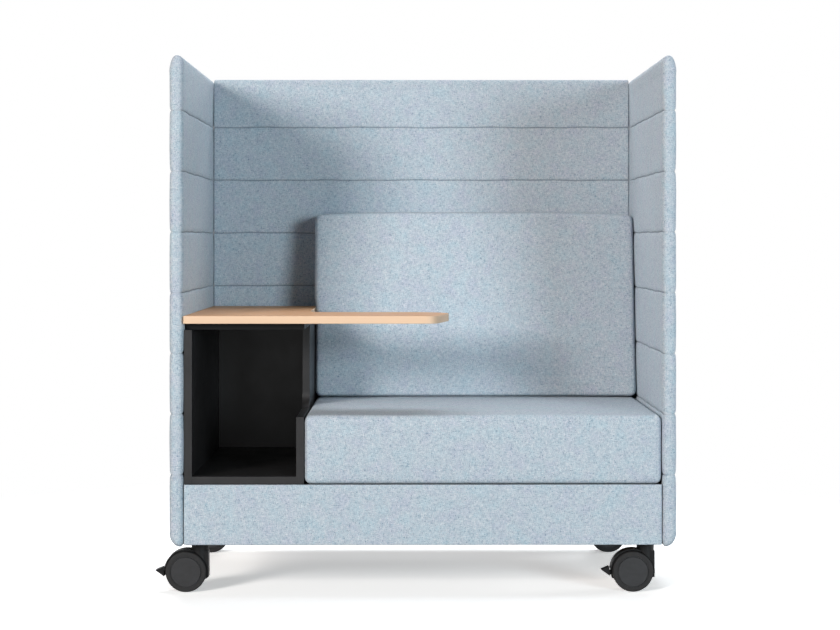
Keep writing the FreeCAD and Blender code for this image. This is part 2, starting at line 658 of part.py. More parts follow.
finish("seat_cushion", soft_feature("seat_block", seat_block()))
board_x = ("board_left", "board_right")
board_z = ("board_low", "board_high")
back_recess = box("back_recess", board_x, ("board_rear - back_board", "depth / 2"), board_z)
finish("back_cushion", cut("back_cushion", soft_feature("back_block", back_block()), back_recess))
finish("back_cushion_board", box("back_board", board_x, ("board_rear - back_board", "board_rear"), board_z))
clip = pad("clip", "YZ_Plane", [
    ("0", "0"), ("clip_sheet", "0"), ("clip_sheet", "clip_height / 2 - clip_sheet"),
    ("clip_depth", "clip_height / 2 - clip_sheet"), ("clip_depth", "clip_height"),
    ("clip_depth - clip_sheet", "clip_height"), ("clip_depth - clip_sheet", "clip_height / 2"),
    ("0", "clip_height / 2")], "clip_width")
clip_spots = [(x, "board_rear", z, "+Z")
              for x in ("board_left + clip_width", "board_right - 2 * clip_width")
              for z in ("board_low + clip_height", "board_high - 2 * clip_height")]
finish("back_cushion_clips", copies("clips", clip, clip_spots))

# Cabinet

cabinet_y = ("cabinet_front", "cabinet_back")
between_sides = ("board - inside", "cabinet_right - board")
left_side = board("left_side", ("-inside", "board - inside"), cabinet_y, ("base_top", "lid_under"))
finish("cabinet_left_side", cut("left_side", left_side, cabinet_screw_holes))
side_depth, side_height = "cabinet_back - cabinet_front", "lid_under - base_top"
right_side = pad("right_side", "YZ_Plane", [
    ("0", "0"), (side_depth, "0"), (side_depth, side_height),
    ("cut_depth", side_height), ("cut_depth", "cut_step"), ("0", "cut_step")], "board")
round_edges(right_side, "cut_round", lambda edge: abs(edge.CenterOfMass.y - size("cut_depth")) < TOUCH
            and abs(edge.CenterOfMass.z - size("cut_step")) < TOUCH)
round_edges(right_side, "edge_ease", lambda edge: True)
place(right_side, "cabinet_right - board", "cabinet_front", "base_top")
finish("cabinet_right_side", cut("right_side", right_side, cabinet_screw_holes))
bottom = board("bottom", between_sides, cabinet_y, ("base_top", "base_top + board"))
finish("cabinet_bottom", cut("bottom", bottom, cabinet_screw_holes))
lid_y = ("cabinet_front + lid_setback", "cabinet_back")
lid = board("lid", ("-inside", "cabinet_right"), lid_y, ("lid_under", "table_under"))
finish("cabinet_top", cut("lid", lid, cabinet_screw_holes, table_screw_holes))
finish("cabinet_back", board("rear_panel", between_sides, ("cabinet_back - rear_board", "cabinet_back"),
                             ("base_top + board", "lid_under")))
finish("cabinet_screws", cabinet_screws)

# Table leaf

leaf_depth = "rear - table_rear_gap - table_front"
leaf = pad("leaf", "XY_Plane", [
    ("0", "0"), ("table_length", "0"), ("table_length + arm_slant", "arm_depth"),
    ("cabinet_width", "arm_depth"), ("cabinet_width", leaf_depth), ("0", leaf_depth)], "table_thickness")
arm_end = size("table_length") + size("arm_slant")
for radius, corner_x, corner_y in (
        ("arm_front_round", size("table_length"), 0),
        ("arm_rear_round", arm_end, size("arm_depth")),
        ("arm_root_round", size("cabinet_width"), size("arm_depth"))):
    round_edges(leaf, radius, lambda edge, x=corner_x, y=corner_y: abs(edge.CenterOfMass.x - x) < TOUCH
                and abs(edge.CenterOfMass.y - y) < TOUCH)
half_leaf = size("table_thickness") / 2
round_edges(leaf, "edge_ease", lambda edge: abs(edge.CenterOfMass.z - half_leaf) > half_leaf / 2)
place(leaf, "-inside", "table_front", "table_under")
finish("table_leaf", cut("leaf", leaf, table_screw_holes))
finish("table_screws", table_screws)

# Casters, each modelled about its own swivel axis with the wheels trailing towards -X


def across(name, radius, half, x="-trail", z="wheel_radius"):
    """A cylinder along Y, as long on both sides of the caster's middle, about the wheel axle or a pivot."""
    return cylinder(name, radius, f"2 * ({half})", x, f"-({half})", z, "+Y")


def caster_housing():
    """Hood, neck and web of a caster in one moulding."""
    left, right = "-trail - 2 * hood_radius", "2 * hood_radius"
    wide = ("-2 * wheel_outer", "2 * wheel_outer")
    hood = across("hood", "hood_radius", "hood_half")
    neck = cylinder("neck", "neck_radius", "neck_top - wheel_radius", "0", "0", "wheel_radius")
    skirt = box("skirt", ("0", "neck_radius"), ("-hood_half", "hood_half"),
                ("wheel_radius - skirt_drop", "2 * wheel_radius"))
    wheel_room = across("wheel_room", "hood_inside", "2 * wheel_outer")
    below_hood = box("below_hood", (left, "-trail"), wide, ("-hood_radius", "wheel_radius + hood_end"))
    below_skirt = box("below_skirt", ("-trail", right), wide, ("-hood_radius", "wheel_radius - skirt_drop"))
    shell = cut("shell", fuse("shell_solid", hood, neck, skirt), wheel_room, below_hood, below_skirt)
    below_web = box("below_web", (left, right), wide, ("-hood_radius", "wheel_radius - web_drop"))
    web = cut("web", across("web_disc", "hood_inside + hood_wall / 2", "web_half"), below_web)
    pin_bore = cylinder("pin_bore", "pin_radius + run_gap", "neck_top", "0", "0", "pin_shoulder")
    pin_room = cylinder("pin_room", "pin_head + pin_head_gap", "pin_shoulder - pin_foot + pin_head_gap",
                        "0", "0", "pin_foot - pin_head_gap")
    pin_drain = cylinder("pin_drain", "pin_drain", "pin_foot", "0", "0", "0")
    axle_bore = across("axle_bore", "axle_radius", "hood_half")
    slot = box("slot", (left, "pivot_x + lever_boss + lever_room"),
               ("-lever_half - lever_clear", "lever_half + lever_clear"), ("0", "wheel_radius + hood_end"))
    lever_bore = across("lever_bore", "trunnion + run_gap", "hood_half", "pivot_x", "pivot_z")
    solid = fuse("housing_solid", shell, web)
    return cut("housing", solid, pin_bore, pin_room, pin_drain, axle_bore, slot, lever_bore)


def wheel_hub():
    """Hub of the wheel on the caster's far side: a disc inside a sunk ring, a blind bore for the axle."""
    bore = "axle_radius + run_gap"
    disc = "hub_radius - hub_ring_width"
    ring = "wheel_outer - hub_ring"
    return lathe("hub", [
        (bore, "wheel_inner"), ("hub_radius", "wheel_inner"), ("hub_radius", ring), (disc, ring),
        (disc, "wheel_outer - hub_bevel"), (f"{disc} - hub_bevel", "wheel_outer"), ("0", "wheel_outer"),
        ("0", "axle_end"), (bore, "axle_end")])


def wheel_tyre():
    side = "wheel_outer - tyre_setback"
    body = lathe("tyre", [("hub_radius", "wheel_inner"), ("wheel_radius", "wheel_inner"),
                          ("wheel_radius", side), ("hub_radius", side)])
    tread = size("wheel_radius")
    return round_edges(body, "tyre_round", lambda edge: hasattr(edge.Curve, "Radius")
                       and abs(edge.Curve.Radius - tread) < TOUCH)


def brake_lever():
    """Pedal, lever and trunnions in one moulding."""
    pedal = pad("pedal", "XZ_Plane", [
        ("-trail - hood_radius - pedal_reach", "wheel_radius + pedal_rise"),
        ("-trail - hood_inside - pedal_heel", "wheel_radius - pedal_heel_drop"),
        ("-trail - hood_radius - pedal_gap", "wheel_radius + pedal_root_rise")], "2 * pedal_half")
    place(pedal, "0", "pedal_half", "0")
    arm = box("arm", ("-trail - hood_radius - pedal_gap", "pivot_x"), ("-lever_half", "lever_half"),
              ("pivot_z - lever_boss", "pivot_z + lever_boss"))
    boss = across("boss", "lever_boss", "lever_half", "pivot_x", "pivot_z")
    trunnions = across("trunnions", "trunnion", "web_half", "pivot_x", "pivot_z")
    return fuse("lever", pedal, arm, boss, trunnions)


def swivel_pin():
    shank = cylinder("pin_shank", "pin_radius", "plate_top - pin_foot", "0", "0", "pin_foot")
    return fuse("pin", shank, cylinder("pin_head", "pin_head", "pin_head_depth", "0", "0", "pin_foot"))


def mounting_plate():
    square = ("-plate_half", "plate_half")
    sheet_metal = box("plate_sheet", square, square, ("plate_under", "plate_top"))
    return cut("plate", sheet_metal, cylinder("plate_bore", "pin_radius", "plate_top", "0", "0", "0"))


swivel_spots = [(x, y, "0", "+Z") for x, y in corner_spots]
finish("caster_plates", cut("plates", copies("plates", mounting_plate(), swivel_spots), caster_screw_holes))
finish("caster_screws", caster_screws)
finish("swivel_pins", copies("pins", swivel_pin(), swivel_spots))

housing = caster_housing()
axle = across("axle", "axle_radius", "axle_end - swivel_gap")
wheel = {"hub": wheel_hub(), "tyre": wheel_tyre()}
lever = brake_lever()
for (corner, _, back), (x, y) in zip(CORNERS, corner_spots):
    stand = (f"{x} + middle", y, "0")
    hub_centre = (f"{x} + middle - trail", y, "wheel_radius")
    keep(place(group(f"{corner}_housing", [housing]), *stand), f"{corner}_caster_housing")
    keep(place(group(f"{corner}_rod", [axle]), *stand), f"{corner}_axle")
    for side, turn in (("near", "half turn"), ("far", "+Z")):
        for piece, master in wheel.items():
            label = f"{corner}_{side}_{piece}"
            keep(place(group(f"{label}_copy", [master]), *hub_centre, turn), label)
    if back < 0:
        keep(place(group(f"{corner}_lever", [lever]), *stand), f"{corner}_brake_lever")

doc.recompute()
failed = [obj.Name for obj in doc.Objects if {"Invalid", "Error"} & set(obj.State)]
failed += [obj.Label for obj in sub_parts if obj.Shape.isNull() or not obj.Shape.isValid()]
if failed:
    raise RuntimeError(f"not built: {failed}")
os.makedirs("parts", exist_ok=True)
for obj in sub_parts:
    obj.Shape.exportStep(f"parts/{obj.Label}.step")
print(len(sub_parts), "sub-parts written")
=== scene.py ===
"""Booth sofa on casters: quilted walls, foam cushions, black cabinet and wooden table leaf."""

import json
import math

import bmesh
import bpy
import numpy as np
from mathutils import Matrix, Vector


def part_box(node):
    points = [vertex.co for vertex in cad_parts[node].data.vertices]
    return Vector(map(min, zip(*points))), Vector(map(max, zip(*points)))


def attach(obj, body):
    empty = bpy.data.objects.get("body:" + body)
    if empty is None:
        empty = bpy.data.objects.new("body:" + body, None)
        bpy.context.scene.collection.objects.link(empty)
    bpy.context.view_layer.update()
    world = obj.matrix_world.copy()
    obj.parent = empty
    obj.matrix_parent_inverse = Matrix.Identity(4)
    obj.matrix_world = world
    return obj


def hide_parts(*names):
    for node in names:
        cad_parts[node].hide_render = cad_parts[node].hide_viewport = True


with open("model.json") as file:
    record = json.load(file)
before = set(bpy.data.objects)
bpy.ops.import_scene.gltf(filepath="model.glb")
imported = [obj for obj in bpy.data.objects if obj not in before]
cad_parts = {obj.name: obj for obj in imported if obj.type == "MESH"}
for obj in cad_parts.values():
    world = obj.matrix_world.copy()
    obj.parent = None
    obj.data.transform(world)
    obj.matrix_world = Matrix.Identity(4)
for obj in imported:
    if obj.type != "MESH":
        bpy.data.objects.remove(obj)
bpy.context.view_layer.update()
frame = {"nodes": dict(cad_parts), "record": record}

# Walls: a foam and fabric cover, sewn through to the board at one pitch.
SEAM_PITCH = 0.149
FIRST_SEAM_DROP = 0.136     # from the wall's upper edge down to the first seam
RIM_RISE = 0.044            # height over which the upper edges taper
FOOT_RISE = 0.036           # the same, lower edges
INNER_RISE = 0.018          # the same, on the side of a side wall that faces the seat
FOOT_SHIFT = 0.009          # a side wall's lowest line lies this far inwards
END_ROUNDING = 0.014        # radius of a side wall's front and rear edges
BUTT_ROUNDING = 0.004       # the back wall's ends, pressed between the side walls
SEAM_PUFF = 0.0009          # how far a channel swells between two seams
SEAM_GROOVE = 0.0022        # the fold beside a seam
SEAM_GROOVE_WIDTH = 0.010
SEAM_SLIT = 0.0014          # the line where the thread pulls the fabric in
SEAM_SLIT_WIDTH = 0.0022
SEAM_WANDER = 0.0011        # how far a seam strays from its straight line
SEAM_PULL = 0.30            # how unevenly the thread pulls along it
PUCKER = 0.0009             # small folds across a seam
PUCKER_REACH = 0.012
END_RELIEF = 0.25           # share of a seam's depth left at a side wall's ends
END_RELIEF_REACH = 0.016
PRESSED_RELIEF = 0.06       # the same, where the back wall's end presses on it
PRESSED_ZONE = (0.036, 0.050)   # from a side wall's rear end: pressed up to the first, free from the second
WALL_UNEVEN = 0.0002        # slow waves over a face
RIM_STEPS = 12              # points from a face to a rim's peak
UPRIGHT_STEPS = 5           # points on the straight part below a rim
BAND_SEAM = 0.021           # from a side wall's edge to the seam of its end band
BAND_SEAM_DEPTH = 0.0008
BAND_SEAM_WIDTH = 0.003
BESIDE_SEAM = np.array([0, 0.5, 1.1, 1.8, 2.6, 4, 6, 8.5, 11, 14]) / 1000   # mesh lines beside a seam
BESIDE_BAND_SEAM = np.array([-3, -1.5, -0.6, 0, 0.6, 1.5, 3]) / 1000
CHANNEL_STEP = 0.010        # mesh step up a channel
CHANNEL_MARGIN = 0.018      # its plain lines keep this far from a seam
LENGTH_STEP = 0.008         # mesh step along a wall
LENGTH_MARGIN = 0.032       # from a wall's end to its first plain line
EDGE_STEPS = 8              # points round an end's edge

# Base front: thin foam and fabric on the rail.
FRONT_SHEET = 0.006         # thickness in front of the rail
FRONT_ROLL = 0.0035         # radius of its upper and lower edges
FRONT_FOLD = 0.003          # thickness of the fabric under the rail
FRONT_TUCK = 0.004          # its ends turn back this far
FRONT_TUCK_REACH = 0.0065
FRONT_UNEVEN = 0.00035
FRONT_ROWS = 20
FRONT_STEP = 0.012          # mesh step along it
FRONT_MARGIN = 0.018        # from its end to the first plain line
BESIDE_FRONT_END = np.array([0, 0.4, 1.2, 2.5, 4.2, 6.5, 10]) / 1000

# Cushions: foam in a sewn cover.
VOXEL = 0.007
PRESSURE = 4.0
SIMULATED_FRAMES = 14
HELD_EDGE = 0.96            # a normal with no part as large as this lies on a rounded edge
COVER = {"mass": 0.3, "tension_stiffness": 15, "compression_stiffness": 15,
         "shear_stiffness": 8, "bending_stiffness": 2, "quality": 3}
FOAM_ROUNDING = 0.014       # radius of a cushion's edges
ROUNDING_STEPS = 4
RESTING_HEIGHT = 0.006      # the seat cushion rests below this height above its underside
LEANING_DEPTH = 0.025       # the back cushion leans on the wall this far from its rear
SEAT_SWELL = np.array([0.0004, 0.002, 0.0035])   # how far the cover swells along each axis
BACK_SWELL = np.array([0.0004, 0.008, 0.0015])
END_DRAW = 0.0006           # a cushion's ends are drawn in this far between their corners
BACK_FOOT = 0.204           # thickness of the back cushion at its foot
BACK_HEAD = 0.122           # the same, at its head
BACK_FALL = 0.008           # its upper corners hang this far
FALL_REACH = 0.22           # over this length
SIDE_BULGE = 0.004          # above the table leaf its left end bulges over the leaf's edge
BULGE_REACH = 0.12
BULGE_START = (0.002, 0.03)     # heights above the leaf between which the bulge sets in
LEAF_TOP = 0.686
BOARD_INSET = 0.060         # from its edges to the board in its back
BOARD_RECESS = 0.0192       # depth of the recess for that board
RECESS_EDGE = (0.012, 0.002)    # the recess's side starts and ends this far outside the board
REAR_FACE = 0.010           # points this close to its rear belong to the recessed face
CUSHION_SEAM = 0.004        # from a cushion's end to the seam of its end panel
CUSHION_SEAM_DEPTH = 0.0009
CUSHION_SEAM_WIDTH = 0.004
CUSHION_SEAM_SHADE = 0.3     # strength of the painted shade along the seam
CUSHION_SHADE_WIDTH = 0.0012
BESIDE_CUSHION_SEAM = (-3, -1.6, -0.6, 0, 0.6, 1.6, 3)   # mesh lines beside it, in millimetres

# Underside cloth, stapled to the base.
CLOTH_STEP = 0.02
CLOTH_SAG = 0.003
CLOTH_THICKNESS = 0.0008

# Photograph: a level view, with the horizon above the middle of the frame.
IMAGE_WIDTH = 840
EYE = Vector((-0.009, -5.025, 0.872))
FOCAL_PIXELS = 1898
HORIZON_ABOVE_MIDDLE = 75
TURN_RIGHT = math.atan(9 / FOCAL_PIXELS)

# Studio: paint is the floor's colour as light sees it; shown and lift are what the camera sees.
AMBIENT = 0.01
FLOOR_SIZE = 60
FLOOR_DROP = 0.0005         # it lies this far below the wheels
FLOOR_PAINT = 0.25
FLOOR_SHOWN = 1.3
FLOOR_LIFT = 0.38
FLOOR_FADE = (0.9, 2.0)     # distances from the object between which it runs into white


# Materials

def linear(red, green, blue):
    """A screen colour, 0 to 255, as the shader's linear colour."""
    def channel(c):
        c /= 255
        return c / 12.92 if c <= 0.04045 else ((c + 0.055) / 1.055) ** 2.4
    return (channel(red), channel(green), channel(blue), 1.0)


class Finish:
    """A procedural material, with short names for the nodes it is built from."""

    def __init__(self, name, **constants):
        self.material = bpy.data.materials.new(name)
        self.material.use_nodes = True
        self.nodes = self.material.node_tree.nodes
        self.bsdf = self.nodes["Principled BSDF"]
        self.coordinates = self.nodes.new("ShaderNodeTexCoord")
        self.place = self.coordinates.outputs["Object"]
        for socket, value in constants.items():
            self.bsdf.inputs[socket.replace("_", " ")].default_value = value

    def feed(self, socket, value):
        """Links an output to a socket, or sets the socket to a plain value."""
        if isinstance(value, bpy.types.NodeSocket):
            self.material.node_tree.links.new(value, socket)
        elif value is not None:
            socket.default_value = value

    def math(self, operation, a, b=None, c=None):
        """One step of arithmetic."""
        node = self.nodes.new("ShaderNodeMath")
        node.operation = operation
        for socket, value in zip(node.inputs, (a, b, c)):
            self.feed(socket, value)
        return node.outputs[0]

    def split(self, vector):
        """A vector's three parts."""
        node = self.nodes.new("ShaderNodeSeparateXYZ")
        self.feed(node.inputs[0], vector)
        return node.outputs

    def join(self, x, y, z):
        """A vector from three parts."""
        node = self.nodes.new("ShaderNodeCombineXYZ")
        for socket, value in zip(node.inputs, (x, y, z)):
            self.feed(socket, value)
        return node.outputs[0]

    def stretch(self, vector, x, y, z):
        """A vector with each part scaled."""
        node = self.nodes.new("ShaderNodeMapping")
        self.feed(node.inputs["Vector"], vector)
        node.inputs["Scale"].default_value = (x, y, z)
        return node.outputs[0]

    def noise(self, vector, scale, detail=2.0, rough=0.5, distort=0.0):
        """Smooth noise from 0 to 1, scale times per metre."""
        node = self.nodes.new("ShaderNodeTexNoise")
        self.feed(node.inputs["Vector"], vector)
        for socket, value in (("Scale", scale), ("Detail", detail),
                              ("Roughness", rough), ("Distortion", distort)):
            node.inputs[socket].default_value = value
        return node.outputs["Fac"]

    def ramp(self, value, *stops):
        """Grey levels or colours between places from 0 to 1."""
        node = self.nodes.new("ShaderNodeValToRGB")
        self.feed(node.inputs["Fac"], value)
        points = node.color_ramp.elements
        while len(points) < len(stops):
            points.new(0.5)
        for point, (place, colour) in zip(points, stops):
            point.position = place
            point.color = colour if isinstance(colour, tuple) else (colour,) * 3 + (1,)
        return node.outputs["Color"]

    def mix(self, factor, a, b, blend="MIX"):
        """Colour a, with b laid over it by factor."""
        node = self.nodes.new("ShaderNodeMix")
        node.data_type = "RGBA"
        node.blend_type = blend
        for socket, value in ((0, factor), (6, a), (7, b)):
            self.feed(node.inputs[socket], value)
        return node.outputs[2]

    def attribute(self, name):
        """A value stored on the mesh's points, 0 where the mesh has none."""
        node = self.nodes.new("ShaderNodeAttribute")
        node.attribute_name = name
        return node.outputs["Fac"]

    def surface(self, colour, roughness, height, depth, strength=0.5):
        """Joins colour, roughness and a bump of the given depth in metres to the shader."""
        bump = self.nodes.new("ShaderNodeBump")
        bump.inputs["Strength"].default_value = strength
        bump.inputs["Distance"].default_value = depth
        self.feed(bump.inputs["Height"], height)
        self.feed(self.bsdf.inputs["Base Color"], colour)
        self.feed(self.bsdf.inputs["Roughness"], roughness)
        self.feed(self.bsdf.inputs["Normal"], bump.outputs["Normal"])
        return self.material


def melange(name, seed):
    """Light blue wool: plain weave whose yarns change colour along their length."""
    yarn, run = 0.0020, 115.0           # a yarn's width, and colour changes along it per metre
    row_jump, column_jump = 7.31, 5.17  # keep the colours of neighbouring yarns apart
    stitches = 1400.0                   # turns of the stitch wave along a seam, radians per metre
    wave, wave_scale = 0.004, 9         # how far and how often the weave wanders
    cloth = Finish(name, Sheen_Weight=0.08, Sheen_Roughness=0.5, Specular_IOR_Level=0.2)
    x, y, z = cloth.split(cloth.place)
    across, along, up = (cloth.math("ABSOLUTE", n)
                         for n in cloth.split(cloth.coordinates.outputs["Normal"]))
    lying = cloth.math("GREATER_THAN", up, 0.75)
    sideways = cloth.math("MULTIPLY", cloth.math("GREATER_THAN", across, along),
                          cloth.math("SUBTRACT", 1.0, lying))
    wander = cloth.math("MULTIPLY", cloth.noise(cloth.place, wave_scale, 1), wave)
    u = cloth.math("ADD", wander, cloth.math(
        "MULTIPLY_ADD", sideways, cloth.math("SUBTRACT", y, x), x))
    v = cloth.math("ADD", wander, cloth.math(
        "MULTIPLY_ADD", lying, cloth.math("SUBTRACT", y, z), z))
    column = cloth.math("DIVIDE", u, yarn)
    row = cloth.math("DIVIDE", v, yarn)
    column_number = cloth.math("FLOOR", column)
    row_number = cloth.math("FLOOR", row)
    over = cloth.math("FLOORED_MODULO", cloth.math("ADD", column_number, row_number), 2.0)

    weft = cloth.noise(cloth.join(cloth.math("MULTIPLY", u, run),
                                  cloth.math("MULTIPLY", row_number, row_jump), seed), 1, 1)
    warp = cloth.noise(cloth.join(cloth.math("MULTIPLY", column_number, column_jump),
                                  cloth.math("MULTIPLY", v, run), seed + 9.0), 1, 1)
    fleck = cloth.math("MULTIPLY_ADD", over, cloth.math("SUBTRACT", warp, weft), weft)
    colour = cloth.ramp(fleck,
                        (0.22, linear(110, 130, 152)), (0.38, linear(164, 179, 193)),
                        (0.52, linear(190, 200, 208)), (0.66, linear(208, 213, 218)),
                        (0.82, linear(232, 234, 235)))
    lilac = cloth.ramp(cloth.noise(cloth.stretch(cloth.place, 1, 1, 1.6), 320, 1),
                       (0.54, 0.0), (0.72, 0.30))
    colour = cloth.mix(lilac, colour, linear(198, 192, 205))
    cyan = cloth.ramp(cloth.noise(cloth.stretch(cloth.place, 1.6, 1.6, 1), 280, 1),
                      (0.54, 0.0), (0.70, 0.35))
    colour = cloth.mix(cyan, colour, linear(168, 204, 216))
    cloud = cloth.ramp(cloth.noise(cloth.place, 26, 2), (0.30, linear(248, 245, 250)),
                       (0.5, linear(251, 251, 251)), (0.70, linear(244, 251, 252)))
    colour = cloth.mix(1.0, colour, cloud, "MULTIPLY")

    seam = cloth.attribute("seam")
    dash = cloth.math("GREATER_THAN",
                      cloth.math("SINE", cloth.math("MULTIPLY", u, stitches)), -0.3)
    thread = cloth.math("MULTIPLY", cloth.math("GREATER_THAN", seam, 0.72), dash)
    # Painted shade: the seam value darkens the colour towards deep blue-grey in the seams' slits.
    colour = cloth.mix(cloth.math("MULTIPLY", seam, 0.62), colour, linear(64, 76, 92))
    colour = cloth.mix(cloth.math("MULTIPLY", thread, 0.35), colour, linear(150, 166, 182))

    across_yarn, along_yarn = (
        cloth.math("ABSOLUTE", cloth.math("SINE", cloth.math("MULTIPLY", count, math.pi)))
        for count in (column, row))
    bead = cloth.math("MULTIPLY", across_yarn, along_yarn)
    fuzz = cloth.noise(cloth.place, 1100, 2, 0.6)
    height = cloth.math("ADD", cloth.math("MULTIPLY_ADD", fuzz, 0.7, bead), thread)
    roughness = cloth.ramp(fuzz, (0.3, 0.80), (0.7, 0.95))
    return cloth.surface(colour, roughness, height, 0.0007, 0.5)


def veneer(name):
    """Light wood with straight grain along X and clear lacquer; faces that do not face up are painted
    paler, a painted highlight on the lit edges.
    """
    wood = Finish(name, Specular_IOR_Level=0.22)
    bands = wood.noise(wood.stretch(wood.place, 1.1, 26, 26), 1, 4, 0.55, 0.6)
    fibres = wood.noise(wood.stretch(wood.place, 14, 420, 420), 1, 3, 0.6)
    pores = wood.noise(wood.stretch(wood.place, 45, 900, 900), 1, 1)
    colour = wood.ramp(bands, (0.28, linear(180, 128, 88)), (0.45, linear(200, 151, 109)),
                       (0.60, linear(210, 163, 121)), (0.78, linear(190, 139, 97)))
    colour = wood.mix(wood.ramp(fibres, (0.35, 0.30), (0.65, 0.0)), colour, linear(172, 120, 80))
    colour = wood.mix(wood.ramp(pores, (0.26, 0.55), (0.36, 0.0)), colour, linear(150, 100, 68))
    # Painted highlight: faces that do not face up, such as the leaf's edges, turn paler.
    up = wood.math("ABSOLUTE", wood.split(wood.coordinates.outputs["Normal"])[2])
    edge = wood.ramp(up, (0.3, 0.75), (0.9, 0.0))
    colour = wood.mix(edge, colour, linear(240, 209, 180))
    roughness = wood.ramp(fibres, (0.3, 0.42), (0.7, 0.55))
    return wood.surface(colour, roughness, wood.math("ADD", fibres, pores), 0.00025, 0.35)


def edge_wear(finish, radius):
    """How far a rounded normal leaves the true one, which is highest along sharp edges."""
    bevel = finish.nodes.new("ShaderNodeBevel")
    bevel.inputs["Radius"].default_value = radius
    geometry = finish.nodes.new("ShaderNodeNewGeometry")
    dot = finish.nodes.new("ShaderNodeVectorMath")
    dot.operation = "DOT_PRODUCT"
    finish.feed(dot.inputs[0], bevel.outputs["Normal"])
    finish.feed(dot.inputs[1], geometry.outputs["Normal"])
    return finish.math("SUBTRACT", 1.0, dot.outputs["Value"])


def laminate(name, dark, light, gloss):
    """Black board: a fine pearl texture, a touch of dust, greyer where edges rub."""
    board = Finish(name, Specular_IOR_Level=gloss)
    grain = board.noise(board.place, 900, 2, 0.55)
    dust = board.noise(board.place, 14, 4, 0.6)
    colour = board.ramp(dust, (0.3, dark), (0.7, light))
    rubbed = board.ramp(edge_wear(board, 0.0025), (0.05, 0.0), (0.5, 0.4))
    colour = board.mix(rubbed, colour, linear(84, 82, 82))
    roughness = board.ramp(board.math("ADD", board.math("MULTIPLY", dust, 0.5),
                                      board.math("MULTIPLY", grain, 0.5)),
                           (0.35, 0.34), (0.65, 0.46))
    return board.surface(colour, roughness, grain, 0.00012, 0.4)


def moulding(name, dark, light, gloss, rough_low, rough_high):
    """Moulded plastic: spark-eroded grain, soft flow marks, scuffed edges."""
    part = Finish(name, Specular_IOR_Level=gloss)
    grain = part.noise(part.place, 1500, 2, 0.6)
    flow = part.noise(part.stretch(part.place, 30, 30, 75), 1, 3, 0.6, 0.8)
    colour = part.ramp(flow, (0.3, dark), (0.7, light))
    scuffed = part.ramp(edge_wear(part, 0.002), (0.08, 0.0), (0.6, 0.35))
    colour = part.mix(scuffed, colour, linear(98, 98, 100))
    roughness = part.ramp(grain, (0.3, rough_low), (0.7, rough_high))
    return part.surface(colour, roughness, grain, 0.0001, 0.35)


def rubber(name):
    """Soft dark tread with fine dust pressed into it."""
    tread = Finish(name, Specular_IOR_Level=0.24)
    dust = tread.noise(tread.place, 60, 5, 0.7)
    grain = tread.noise(tread.place, 1300, 2)
    colour = tread.ramp(dust, (0.35, linear(32, 32, 33)), (0.62, linear(43, 42, 42)),
                        (0.80, linear(68, 66, 64)))
    return tread.surface(colour, tread.ramp(dust, (0.3, 0.62), (0.7, 0.85)), grain, 0.00015, 0.5)


def plated(name, dark, light, metallic):
    """Drawn steel: fine lines along the bar and a cloudy plated film."""
    steel = Finish(name, Metallic=metallic)
    lines = steel.noise(steel.stretch(steel.place, 60, 900, 900), 1, 3, 0.6)
    film = steel.noise(steel.place, 45, 3, 0.6)
    colour = steel.ramp(film, (0.3, dark), (0.7, light))
    roughness = steel.ramp(lines, (0.3, 0.26), (0.7, 0.44))
    return steel.surface(colour, roughness, lines, 0.00005, 0.3)


def plywood(name):
    """Raw birch plywood: long face grain, and dark and light plies across its thickness."""
    ply = Finish(name, Specular_IOR_Level=0.3)
    face = ply.noise(ply.stretch(ply.place, 9, 9, 70), 1, 5, 0.6, 0.8)
    fibre = ply.noise(ply.stretch(ply.place, 40, 40, 600), 1, 3, 0.6)
    colour = ply.ramp(face, (0.30, linear(188, 152, 110)), (0.5, linear(212, 178, 134)),
                      (0.72, linear(224, 194, 152)))
    colour = ply.mix(ply.ramp(fibre, (0.3, 0.4), (0.6, 0.0)), colour, linear(166, 126, 84))
    return ply.surface(colour, ply.ramp(fibre, (0.3, 0.62), (0.7, 0.8)), fibre, 0.0003, 0.4)


def film_ply_painted_shade(name):
    """Plywood faced with film, dark brown all over as painted shade for the gaps round the seat: a pressed
    wire-mesh print, and plies along the edges.
    """
    ply = Finish(name, Specular_IOR_Level=0.3)
    x, y, z = ply.split(ply.place)
    mesh = ply.math("MULTIPLY", ply.math("SINE", ply.math("MULTIPLY", x, 1600.0)),
                    ply.math("SINE", ply.math("MULTIPLY", y, 1600.0)))
    scuff = ply.noise(ply.place, 30, 4, 0.65)
    # Painted shade: the film's and plies' dark browns stand in for the shade in the gaps between seat and
    # base.
    film = ply.ramp(scuff, (0.3, linear(22, 20, 19)), (0.7, linear(36, 32, 29)))
    layer = ply.math("FLOORED_MODULO", ply.math("DIVIDE", z, 0.0028), 1.0)
    plies = ply.ramp(layer, (0.45, linear(46, 38, 31)), (0.55, linear(28, 24, 21)))
    up = ply.math("ABSOLUTE", ply.split(ply.coordinates.outputs["Normal"])[2])
    colour = ply.mix(ply.ramp(up, (0.4, 0.0), (0.6, 1.0)), plies, film)
    return ply.surface(colour, ply.ramp(scuff, (0.3, 0.5), (0.7, 0.7)), mesh, 0.0002, 0.4)


def spunbond(name):
    """Thin black underside cloth: pressed fibres with rows of bond points."""
    cloth = Finish(name, Specular_IOR_Level=0.25)
    fibres = cloth.noise(cloth.stretch(cloth.place, 500, 500, 500), 1, 4, 0.7, 1.5)
    x, y, _ = cloth.split(cloth.place)
    points = cloth.math("MULTIPLY", cloth.math("SINE", cloth.math("MULTIPLY", x, 2100.0)),
                        cloth.math("SINE", cloth.math("MULTIPLY", y, 2100.0)))
    colour = cloth.ramp(fibres, (0.3, linear(24, 24, 25)), (0.7, linear(52, 52, 54)))
    return cloth.surface(colour, cloth.ramp(fibres, (0.3, 0.7), (0.7, 0.9)),
                         cloth.math("ADD", fibres, points), 0.0003, 0.5)


